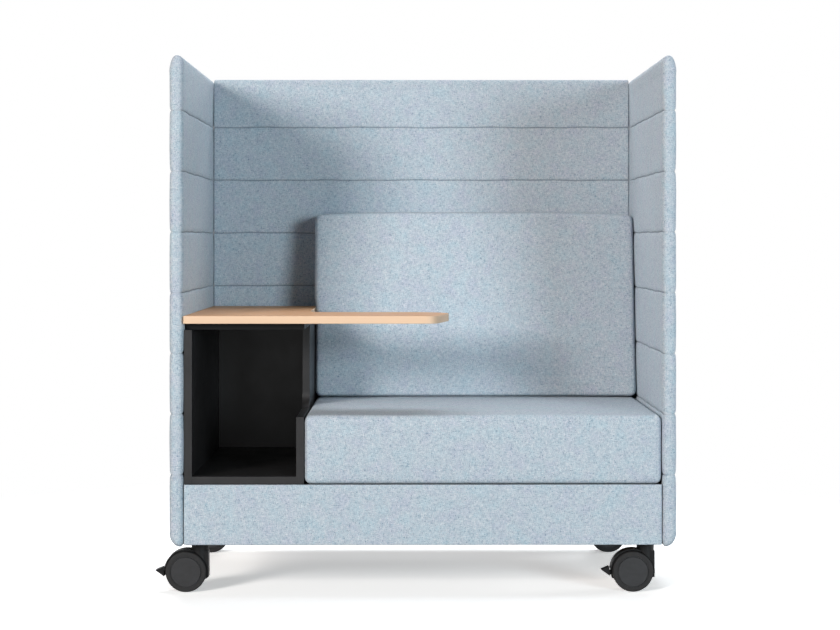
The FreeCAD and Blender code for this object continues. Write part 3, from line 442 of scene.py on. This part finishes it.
finishes = {
    "wall_fabric": melange("wall wool", 1.0),
    "base_fabric": melange("base wool", 31.0),
    "cushion_fabric": melange("cushion wool", 61.0),
    "plywood": plywood("raw plywood"),
    "deck_film_painted_shade": film_ply_painted_shade("film-faced plywood, dark as painted shade"),
    "dust_cloth": spunbond("underside cloth"),
    "cabinet_board": laminate("black laminate", linear(24, 24, 25), linear(32, 31, 32), 0.35),
    # Painted shade: a darker copy of the black laminate for the lid, which lies in the table leaf's shadow.
    "lid_board": laminate("matt black laminate, darkened as painted shade", linear(13, 12, 12), linear(19, 18, 18), 0.14),
    "table_wood": veneer("table veneer"),
    "steel": plated("zinc plate", linear(168, 170, 172), linear(205, 206, 208), 1.0),
    "axle_steel": plated("ground steel", linear(182, 184, 186), linear(214, 214, 216), 1.0),
    "black_steel": plated("black plate", linear(30, 30, 31), linear(46, 46, 48), 0.2),
    "caster_plastic": moulding("housing plastic", linear(14, 14, 15), linear(22, 22, 23),
                               0.16, 0.44, 0.58),
    "pedal_plastic": moulding("pedal plastic", linear(15, 15, 16), linear(24, 24, 25),
                              0.16, 0.44, 0.58),
    "hub_plastic": moulding("hub plastic", linear(27, 27, 28), linear(36, 36, 38),
                            0.34, 0.42, 0.56),
    "tyre_rubber": rubber("tyre rubber"),
}
slot_of = {part["node"]: part["material_slot"] for part in frame["record"]["subparts"]}
# Own finishes: dark film on the deck and rail as painted shade for the gaps round the seat, and a darker
# laminate on the lid as painted shade for the leaf's shadow.
own_finish = {"base_deck": "deck_film_painted_shade", "base_front_rail": "deck_film_painted_shade",
              "cabinet_top": "lid_board"}
for node, obj in frame["nodes"].items():
    obj.data.materials.clear()
    obj.data.materials.append(finishes[own_finish.get(node, slot_of[node])])


# Soft pieces

def corners(node):
    """A node's lowest and highest corner."""
    return [np.array(corner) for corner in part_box(node)]


def add_object(name, data):
    """A new object in the scene."""
    obj = bpy.data.objects.new(name, data)
    bpy.context.scene.collection.objects.link(obj)
    return obj


def mark_seams(mesh, strength):
    """Tells the fabric's finish where seams run, point by point: how strongly it paints shade into their
    slits, and where the thread shows.
    """
    values = np.asarray(strength, np.float32)
    mesh.attributes.new("seam", "FLOAT", "POINT").data.foreach_set("value", values)


def piece(name, points, faces, node, seam=None):
    """A soft mesh that stands for a CAD node, takes its finish and rides on the sofa."""
    mesh = bpy.data.meshes.new(name)
    mesh.from_pydata(np.asarray(points).tolist(), [], faces)
    mesh.shade_smooth()
    if seam is not None:
        mark_seams(mesh, seam)
    obj = add_object(name, mesh)
    settle(obj, node)
    return obj


def settle(obj, node):
    """Gives a soft piece its node's finish and body, and hides the node."""
    obj.data.materials.clear()
    obj.data.materials.append(finishes[slot_of[node]])
    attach(obj, "sofa")
    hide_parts(node)


def smooth(start, end, value):
    """From 0 at start to 1 at end, level at both."""
    t = np.clip((value - start) / (end - start), 0, 1)
    return t * t * (3 - 2 * t)


def ripple(rng, along, lengths, height):
    """A gentle uneven wave along a line, built from a few wavelengths."""
    turn = 2 * math.pi
    return sum(height / len(lengths) * np.sin(turn * along / length + rng.uniform(0, turn))
               for length in lengths)


def spread(start, end, step):
    """Even places from start to end, about a step apart."""
    return np.linspace(start, end, max(2, round((end - start) / step) + 1))


def skin(rings):
    """Quads between neighbouring rings of points."""
    count, size = rings.shape[:2]
    faces = []
    for ring in range(count - 1):
        a, b = ring * size, (ring + 1) * size
        faces += [(a + k, a + (k + 1) % size, b + (k + 1) % size, b + k) for k in range(size)]
    return faces


def quilted_wall(node, along, rounding, seed, pressed_side=0):
    """A wall's cover: channels between sewn seams, tapering rims, rounded ends.

    along is the axis the wall runs on, 0 for X or 1 for Y. pressed_side is the face, +1 or -1,
    that the back wall's end presses flat at the rear."""
    rng = np.random.default_rng(seed)
    low, high = corners(node)
    across = 1 - along
    middle, half = (low[across] + high[across]) / 2, (high[across] - low[across]) / 2
    bottom, top = low[2], high[2]
    seams = np.arange(top - FIRST_SEAM_DROP, bottom + FOOT_RISE, -SEAM_PITCH)

    beside = (seams[:, None] + np.concatenate([-BESIDE_SEAM[:0:-1], BESIDE_SEAM])).ravel()
    open_heights = spread(bottom + FOOT_RISE, top - RIM_RISE, CHANNEL_STEP)
    clear = np.abs(open_heights[:, None] - seams).min(axis=1) > CHANNEL_MARGIN
    clear[[0, -1]] = True
    heights = np.sort(np.concatenate([beside, open_heights[clear]]))

    # Stations from one end to the other: rounded edge, end band, then the quilted length.
    turn = np.linspace(0, math.pi / 2, EDGE_STEPS)
    edge = rounding * (1 - np.cos(turn))
    inset = rounding * (1 - np.sin(turn))
    length = high[along] - low[along]
    line = BESIDE_BAND_SEAM + BAND_SEAM
    start = np.concatenate([edge, line])
    inner = spread(LENGTH_MARGIN, length - LENGTH_MARGIN, LENGTH_STEP)
    stations = np.concatenate([start, inner, length - start[::-1]])
    insets = np.concatenate([inset, np.zeros(len(line) * 2 + len(inner)), inset[::-1]])
    from_end = np.minimum(stations, length - stations)

    def relief(side):
        """How far the face lies inside its full thickness, and how strongly to paint shade into the seam's
        slit, with the thread where it is strongest.
        """
        total = np.zeros((len(stations), len(heights)))
        shade_and_thread = np.zeros_like(total)
        reach = np.ones(len(stations))
        if rounding > BUTT_ROUNDING:
            reach = END_RELIEF + (1 - END_RELIEF) * smooth(0.0, END_RELIEF_REACH, from_end)
        if side == pressed_side:
            freed = smooth(*PRESSED_ZONE, length - stations)
            reach = reach * (PRESSED_RELIEF + (1 - PRESSED_RELIEF) * freed)
        for seam in seams:
            wander = ripple(rng, stations, (0.31, 0.13), SEAM_WANDER)
            pull = 1 + ripple(rng, stations, (0.23, 0.071, 0.046), SEAM_PULL)
            gap = np.abs(heights[None, :] - seam - wander[:, None])
            pucker = ripple(rng, stations, (0.034, 0.043, 0.057), PUCKER)
            groove = np.clip(1 - gap / SEAM_GROOVE_WIDTH, 0, 1) ** 2
            slit = np.clip(1 - gap / SEAM_SLIT_WIDTH, 0, 1)
            total += (reach * pull)[:, None] * (SEAM_GROOVE * groove + SEAM_SLIT * slit)
            total += SEAM_PUFF * np.clip(1 - gap / (SEAM_PITCH / 2), 0, 1) ** 2
            total += (np.abs(pucker) * reach)[:, None] * np.exp(-gap / PUCKER_REACH)
            # The slit's strength: painted shade in the fabric's colour, and thread where it is strongest.
            shade_and_thread = np.maximum(shade_and_thread, reach[:, None] * slit)
        if rounding > BUTT_ROUNDING:
            line_gap = np.abs(from_end - BAND_SEAM)
            total += BAND_SEAM_DEPTH * np.clip(1 - line_gap / BAND_SEAM_WIDTH, 0, 1)[:, None]
        for _ in range(3):
            lengthwise = np.sin(stations * rng.uniform(9, 25) + rng.uniform(0, 6))
            upwards = np.sin(heights * rng.uniform(20, 60) + rng.uniform(0, 6))
            total += WALL_UNEVEN + WALL_UNEVEN * np.outer(lengthwise, upwards)
        return total, shade_and_thread

    def rim(side, span, drawn, peak):
        """From the face on one side to just short of an edge's peak: offsets across the wall,
        and how far each point is short of the peak's height."""
        thick = half - drawn
        rise = (INNER_RISE if side == pressed_side else span) - drawn
        upright = np.zeros(0)
        if side == pressed_side:
            upright = np.linspace(span - drawn, rise, UPRIGHT_STEPS)[1:]
        angles = np.linspace(0, math.pi / 2, RIM_STEPS + 1 - len(upright), endpoint=False)[1:]
        curve = peak + (side * thick - peak) * np.cos(angles)
        offset = np.append(np.full(len(upright), side * thick), curve)
        return offset, np.append(upright, rise * (1 - np.sin(angles)))

    face_count, rim_count = len(heights), 2 * RIM_STEPS
    size = 2 * face_count + 2 * rim_count
    rings = np.zeros((len(stations), size, 3))
    seam_shade_and_thread = np.zeros((len(stations), size))
    depth_up, shade_and_thread_up = relief(+1)
    depth_down, shade_and_thread_down = relief(-1)
    for i, (station, drawn) in enumerate(zip(stations, insets)):
        thick = half - drawn
        foot = pressed_side * FOOT_SHIFT * thick / half
        (up, up_short), (down, down_short) = (rim(side, RIM_RISE, drawn, 0) for side in (1, -1))
        (sole, sole_short), (heel, heel_short) = (rim(side, FOOT_RISE, drawn, foot) for side in (1, -1))
        offset = np.concatenate([
            thick - depth_up[i], up, down[::-1], -(thick - depth_down[i][::-1]), heel, sole[::-1]])
        height = np.concatenate([
            heights, top - drawn - up_short, top - drawn - down_short[::-1],
            heights[::-1], bottom + drawn + heel_short, bottom + drawn + sole_short[::-1]])
        rings[i, :, across] = middle + offset
        rings[i, :, along] = low[along] + station
        rings[i, :, 2] = height
        # Where the finish paints shade into the seams' slits, and shows thread at their middle.
        seam_shade_and_thread[i, :face_count] = shade_and_thread_up[i]
        seam_shade_and_thread[i, face_count + rim_count:2 * face_count + rim_count] = shade_and_thread_down[i][::-1]

    faces = skin(rings)
    half_ring = list(range(size - RIM_STEPS, size)) + list(range(face_count + RIM_STEPS))
    mirror = [(2 * face_count + rim_count - 1 - k) % size for k in half_ring]
    last = (len(stations) - 1) * size
    for k in range(len(half_ring) - 1):
        a, b, c, d = half_ring[k], half_ring[k + 1], mirror[k + 1], mirror[k]
        faces.append((d, c, b, a))
        faces.append((last + a, last + b, last + c, last + d))
    if along == 1:
        faces = [face[::-1] for face in faces]
    name = node.replace("_cover", "_quilt")
    wall = piece(name, rings.reshape(-1, 3), faces, node, seam_shade_and_thread.ravel())


def base_front():
    """The base's front: thin foam under fabric that folds round the rail's lower edge."""
    node = "base_front_cover"
    rng = np.random.default_rng(7)
    low, high = corners(node)
    sheet_back = low[1] + FRONT_SHEET
    roll = FRONT_ROLL
    turn = np.linspace(0, math.pi / 2, 7)
    upper = np.stack([low[1] + roll * (1 - np.sin(turn)), high[2] - roll * (1 - np.cos(turn))], 1)
    heights = np.linspace(high[2] - roll, low[2] + roll, FRONT_ROWS)[1:-1]
    face = np.stack([np.full(len(heights), low[1]), heights], 1)
    lower = np.stack([low[1] + roll * (1 - np.cos(turn)), low[2] + roll * (1 - np.sin(turn))], 1)
    fold_top = low[2] + FRONT_FOLD
    fold = np.array([[high[1], low[2]], [high[1], fold_top], [sheet_back, fold_top]])
    outline = np.concatenate([[[sheet_back, high[2]]], upper, face, lower, fold])

    ends = BESIDE_FRONT_END
    length = high[0] - low[0]
    plain = spread(FRONT_MARGIN, length - FRONT_MARGIN, FRONT_STEP)
    stations = np.concatenate([ends, plain, length - ends[::-1]])
    rings = np.zeros((len(stations), len(outline), 3))
    front = outline[:, 0] < sheet_back - 0.0005
    for i, station in enumerate(stations):
        edge = min(station, length - station)
        turned = 1 - min(edge, FRONT_TUCK_REACH) / FRONT_TUCK_REACH
        tuck = FRONT_TUCK * (1 - math.sqrt(1 - turned ** 2))
        rings[i, :, 0] = low[0] + station
        rings[i, :, 1] = outline[:, 0] + tuck * front
        rings[i, :, 2] = outline[:, 1]
    uneven = np.zeros(rings.shape[:2])
    for _ in range(4):
        phase = rings[:, :, 0] * rng.uniform(6, 40) + rings[:, :, 2] * rng.uniform(-30, 30)
        uneven += FRONT_UNEVEN * (1 + np.sin(phase + rng.uniform(0, 6))) / 2
    rings[:, :, 1] += uneven * front[None, :]
    faces = skin(rings)
    count = len(outline)
    faces.append(tuple(range(count))[::-1])
    faces.append(tuple((len(stations) - 1) * count + k for k in range(count)))
    panel = piece("base_front_panel", rings.reshape(-1, 3), faces, node)


def points_of(mesh):
    """A mesh's points, one row each."""
    flat = np.zeros(len(mesh.vertices) * 3)
    mesh.vertices.foreach_get("co", flat)
    return flat.reshape(-1, 3)


def normals_of(mesh):
    """The normals at a mesh's points, one row each."""
    flat = np.zeros(len(mesh.vertices) * 3)
    mesh.vertex_normals.foreach_get("vector", flat)
    return flat.reshape(-1, 3)


def evaluated(obj):
    """The object's mesh with its modifiers applied, and no modifiers left."""
    graph = bpy.context.evaluated_depsgraph_get()
    mesh = bpy.data.meshes.new_from_object(obj.evaluated_get(graph))
    obj.modifiers.clear()
    obj.data = mesh
    return mesh


def foam_block(name, outline, start, end):
    """A closed block with rounded edges, between two places along X. outline gives its
    (y, z) corners."""
    shape = bmesh.new()
    near, far = ([shape.verts.new((x, y, z)) for y, z in outline] for x in (start, end))
    shape.faces.new(near)
    shape.faces.new(far[::-1])
    for k in range(len(outline)):
        shape.faces.new((near[k - 1], far[k - 1], far[k], near[k]))
    bmesh.ops.recalc_face_normals(shape, faces=shape.faces[:])
    bmesh.ops.bevel(shape, geom=shape.edges[:], offset=FOAM_ROUNDING, segments=ROUNDING_STEPS,
                    profile=0.5, affect="EDGES")
    mesh = bpy.data.meshes.new(name)
    shape.to_mesh(mesh)
    shape.free()
    return add_object(name, mesh)


def swell(obj, room, rests):
    """A foam cushion's cover, simulated under a light pressure from inside, held along its
    rounded edges and where it rests. It swells by room along each axis."""
    start = points_of(obj.data)
    facing = np.abs(normals_of(obj.data)).max(axis=1)
    held = (facing < HELD_EDGE) | rests(start)
    group = obj.vertex_groups.new(name="held")
    group.add([int(k) for k in np.flatnonzero(held)], 1.0, "REPLACE")
    cloth = obj.modifiers.new("cover", "CLOTH")
    for setting, value in COVER.items():
        setattr(cloth.settings, setting, value)
    cloth.settings.use_pressure = True
    cloth.settings.uniform_pressure_force = PRESSURE
    cloth.settings.vertex_group_mass = "held"
    cloth.settings.effector_weights.gravity = 0
    cloth.collision_settings.use_self_collision = False
    for number in range(1, SIMULATED_FRAMES + 1):
        bpy.context.scene.frame_set(number)
    mesh = evaluated(obj)
    bpy.context.scene.frame_set(1)
    obj.vertex_groups.clear()
    moved = points_of(mesh) - start
    furthest = np.percentile(np.abs(moved), 99, axis=0)
    moved = np.clip(moved * room / furthest, -room, room)
    mesh.vertices.foreach_set("co", (start + moved).ravel())


def cushion(node, name, outline, room, rests, run, fall=0.0):
    """A sewn foam cushion. outline gives the (y, z) corners of its block, run is the axis
    its ends run along, and fall is how far its upper corners hang."""
    low, high = corners(node)
    obj = foam_block(name, outline, low[0] + room[0], high[0] - room[0])
    remesh = obj.modifiers.new("even mesh", "REMESH")
    remesh.mode = "VOXEL"
    remesh.voxel_size = VOXEL
    mesh = evaluated(obj)
    points = points_of(mesh)
    from_end = np.minimum(points[:, 0] - low[0], high[0] - points[:, 0])
    share = np.clip((points - low) / (high - low), 0, 1)
    points[:, 2] -= fall * np.clip(1 - from_end / FALL_REACH, 0, 1) ** 2 * share[:, 2] ** 2
    points[:, 0] -= END_DRAW * (2 * share[:, 0] - 1) * np.sin(math.pi * share[:, run])
    mesh.vertices.foreach_set("co", points.ravel())
    mesh.update()
    swell(obj, room, rests)
    finer = obj.modifiers.new("finer", "SUBSURF")
    finer.levels = finer.render_levels = 1
    evaluated(obj)
    sew(obj, [low[0] + CUSHION_SEAM, high[0] - CUSHION_SEAM])
    settle(obj, node)
    return obj


def sew(obj, places):
    """Sews the cover along planes across X: an edge loop drawn in, with painted shade along the seam."""
    shape = bmesh.new()
    shape.from_mesh(obj.data)
    for place in places:
        for step in BESIDE_CUSHION_SEAM:
            everything = shape.verts[:] + shape.edges[:] + shape.faces[:]
            bmesh.ops.bisect_plane(shape, geom=everything,
                                   plane_co=(place + step / 1000, 0, 0), plane_no=(1, 0, 0))
    shape.to_mesh(obj.data)
    shape.free()
    obj.data.shade_smooth()
    points = points_of(obj.data)
    normals = normals_of(obj.data)
    gap = np.abs(points[:, 0:1] - np.array(places)[None, :]).min(axis=1)
    drawn = CUSHION_SEAM_DEPTH * np.clip(1 - gap / CUSHION_SEAM_WIDTH, 0, 1) ** 2
    points -= normals * drawn[:, None]
    obj.data.vertices.foreach_set("co", points.ravel())
    # The seam's value paints shade along it; it stays too weak to show thread.
    mark_seams(obj.data, np.clip(1 - gap / CUSHION_SHADE_WIDTH, 0, 1) * CUSHION_SEAM_SHADE)


def seat_cushion():
    """The block on the deck, resting on its whole underside."""
    node = "seat_cushion"
    low, high = corners(node)
    front, rear, top = low[1] + SEAT_SWELL[1], high[1] - SEAT_SWELL[1], high[2] - SEAT_SWELL[2]
    outline = [(front, low[2]), (rear, low[2]), (rear, top), (front, top)]

    def rests(points):
        return points[:, 2] < low[2] + RESTING_HEIGHT

    cushion(node, "seat_pad", outline, SEAT_SWELL, rests, 1)


def back_cushion():
    """The wedge against the back wall, hollow where its board hangs on the wall."""
    node = "back_cushion"
    low, high = corners(node)
    rear, top = high[1], high[2] - BACK_SWELL[2]
    foot, head = rear - BACK_FOOT + BACK_SWELL[1], rear - BACK_HEAD + BACK_SWELL[1]
    outline = [(foot, low[2]), (rear, low[2]), (rear, top), (head, top)]

    def leans(points):
        return points[:, 1] > rear - LEANING_DEPTH

    pad = cushion(node, "back_pad", outline, BACK_SWELL, leans, 2, BACK_FALL)
    points = points_of(pad.data)
    from_edge = np.minimum(points - low, high - points)[:, ::2].min(axis=1)
    behind = points[:, 1] > rear - REAR_FACE
    recess = smooth(*(BOARD_INSET - edge for edge in RECESS_EDGE), from_edge)
    points[:, 1] -= BOARD_RECESS * behind * recess
    leftward = np.clip(1 - (points[:, 0] - low[0]) / BULGE_REACH, 0, 1) ** 2
    above_leaf = smooth(*(LEAF_TOP + height for height in BULGE_START), points[:, 2])
    points[:, 0] -= SIDE_BULGE * leftward * above_leaf
    pad.data.vertices.foreach_set("co", points.ravel())


def dust_cover():
    """The underside cloth, stapled taut and sagging a little between the beams."""
    node = "base_dust_cover"
    low, high = corners(node)
    across, along = (spread(low[axis], high[axis], CLOTH_STEP) for axis in (0, 1))
    x, y = np.meshgrid(across, along, indexing="ij")
    inside = (np.sin(math.pi * (x - low[0]) / (high[0] - low[0]))
              * np.sin(math.pi * (y - low[1]) / (high[1] - low[1])))
    upper = np.stack([x, y, high[2] - CLOTH_SAG * inside], -1)
    lower = upper - np.array([0, 0, CLOTH_THICKNESS])
    rings = np.concatenate([upper, lower[:, ::-1]], axis=1)
    faces = skin(rings)
    count = rings.shape[1]
    for row in (0, (len(across) - 1) * count):
        for k in range(count // 2 - 1):
            quad = (row + k, row + k + 1, row + count - 2 - k, row + count - 1 - k)
            faces.append(quad if row else quad[::-1])
    cloth = piece("underside_cloth", rings.reshape(-1, 3), [face[::-1] for face in faces], node)


quilted_wall("left_wall_cover", 1, END_ROUNDING, 11, pressed_side=+1)
quilted_wall("right_wall_cover", 1, END_ROUNDING, 12, pressed_side=-1)
quilted_wall("back_wall_cover", 0, BUTT_ROUNDING, 13)
base_front()
seat_cushion()
back_cushion()
dust_cover()


# Studio

def seen_directly(tree):
    """1 for camera, glossy and transmission rays, 0 for the light that reaches the object."""
    nodes, links = tree.nodes, tree.links
    path = nodes.new("ShaderNodeLightPath")
    total = path.outputs["Is Camera Ray"]
    for name in ("Is Glossy Ray", "Is Transmission Ray"):
        larger = nodes.new("ShaderNodeMath")
        larger.operation = "MAXIMUM"
        links.new(total, larger.inputs[0])
        links.new(path.outputs[name], larger.inputs[1])
        total = larger.outputs[0]
    return total


def studio_world(ambient):
    """White where the camera sees past the object, and a trace of light from all round."""
    world = bpy.data.worlds.new("studio")
    bpy.context.scene.world = world
    world.use_nodes = True
    nodes, links = world.node_tree.nodes, world.node_tree.links
    room = nodes["Background"]
    room.inputs["Color"].default_value = (1, 1, 1, 1)
    room.inputs["Strength"].default_value = ambient
    white = nodes.new("ShaderNodeBackground")
    white.inputs["Color"].default_value = (1, 1, 1, 1)
    chosen = nodes.new("ShaderNodeMixShader")
    links.new(seen_directly(world.node_tree), chosen.inputs[0])
    links.new(room.outputs[0], chosen.inputs[1])
    links.new(white.outputs[0], chosen.inputs[2])
    links.new(chosen.outputs[0], nodes["World Output"].inputs["Surface"])


def studio_floor():
    """A pale floor that keeps the shadow round the object and runs into white away from it."""
    bpy.ops.mesh.primitive_plane_add(size=FLOOR_SIZE, location=(0, 0, -FLOOR_DROP))
    floor = bpy.context.object
    floor.name = "floor"
    material = bpy.data.materials.new("studio floor")
    material.use_nodes = True
    floor.data.materials.append(material)
    nodes, links = material.node_tree.nodes, material.node_tree.links
    nodes.remove(nodes["Principled BSDF"])
    paint = nodes.new("ShaderNodeBsdfDiffuse")
    paint.inputs["Color"].default_value = (FLOOR_PAINT,) * 3 + (1,)
    shown = nodes.new("ShaderNodeBsdfDiffuse")
    shown.inputs["Color"].default_value = (FLOOR_SHOWN,) * 3 + (1,)
    lift = nodes.new("ShaderNodeEmission")
    lift.inputs["Strength"].default_value = FLOOR_LIFT
    near = nodes.new("ShaderNodeAddShader")
    links.new(shown.outputs[0], near.inputs[0])
    links.new(lift.outputs[0], near.inputs[1])
    white = nodes.new("ShaderNodeEmission")
    place = nodes.new("ShaderNodeTexCoord")
    distance = nodes.new("ShaderNodeVectorMath")
    distance.operation = "LENGTH"
    links.new(place.outputs["Object"], distance.inputs[0])
    fade = nodes.new("ShaderNodeMapRange")
    fade.interpolation_type = "SMOOTHSTEP"
    fade.inputs["From Min"].default_value, fade.inputs["From Max"].default_value = FLOOR_FADE
    links.new(distance.outputs["Value"], fade.inputs["Value"])
    seen = nodes.new("ShaderNodeMixShader")
    links.new(fade.outputs["Result"], seen.inputs[0])
    links.new(near.outputs[0], seen.inputs[1])
    links.new(white.outputs[0], seen.inputs[2])
    chosen = nodes.new("ShaderNodeMixShader")
    links.new(seen_directly(material.node_tree), chosen.inputs[0])
    links.new(paint.outputs[0], chosen.inputs[1])
    links.new(seen.outputs[0], chosen.inputs[2])
    links.new(chosen.outputs[0], nodes["Material Output"].inputs["Surface"])


def softbox(name, place, aim, width, height, watts, tint=(1, 1, 1)):
    """A large soft lamp that looks at a point."""
    lamp = bpy.data.lights.new(name, "AREA")
    lamp.shape = "RECTANGLE"
    lamp.color = tint
    lamp.size, lamp.size_y, lamp.energy = width, height, watts
    obj = add_object(name, lamp)
    obj.location = place
    obj.rotation_euler = (Vector(aim) - Vector(place)).to_track_quat("-Z", "Y").to_euler()


def camera():
    """The photograph's view: level, with the frame shifted down from the horizon."""
    lens = bpy.data.cameras.new("camera")
    lens.sensor_width = 36
    lens.lens = lens.sensor_width * FOCAL_PIXELS / IMAGE_WIDTH
    lens.shift_y = -HORIZON_ABOVE_MIDDLE / IMAGE_WIDTH
    obj = add_object("camera", lens)
    obj.location = EYE
    obj.rotation_euler = (math.pi / 2, 0, -TURN_RIGHT)
    bpy.context.scene.camera = obj


camera()
studio_world(AMBIENT)
studio_floor()
softbox("key", (-5.6, -7.8, 3.25), (0, 0, 0.9), 2.6, 2.6, 800, (1.0, 0.95, 0.91))
softbox("fill", (5.5, -8.4, 1.9), (0, 0, 0.8), 2.8, 2.8, 558, (0.80, 0.93, 1.0))
softbox("overhead", (0, 2.0, 4.6), (0, -0.1, 0.5), 3.4, 2.4, 158, (0.95, 0.97, 1.0))
softbox("rear", (1.5, 6.0, 2.6), (0, 0, 0.7), 2.6, 2.2, 120)
softbox("right", (6.0, 1.4, 1.0), (0.6, 0, 0.7), 2.4, 1.8, 130)
bpy.context.scene.view_settings.view_transform = "Standard"
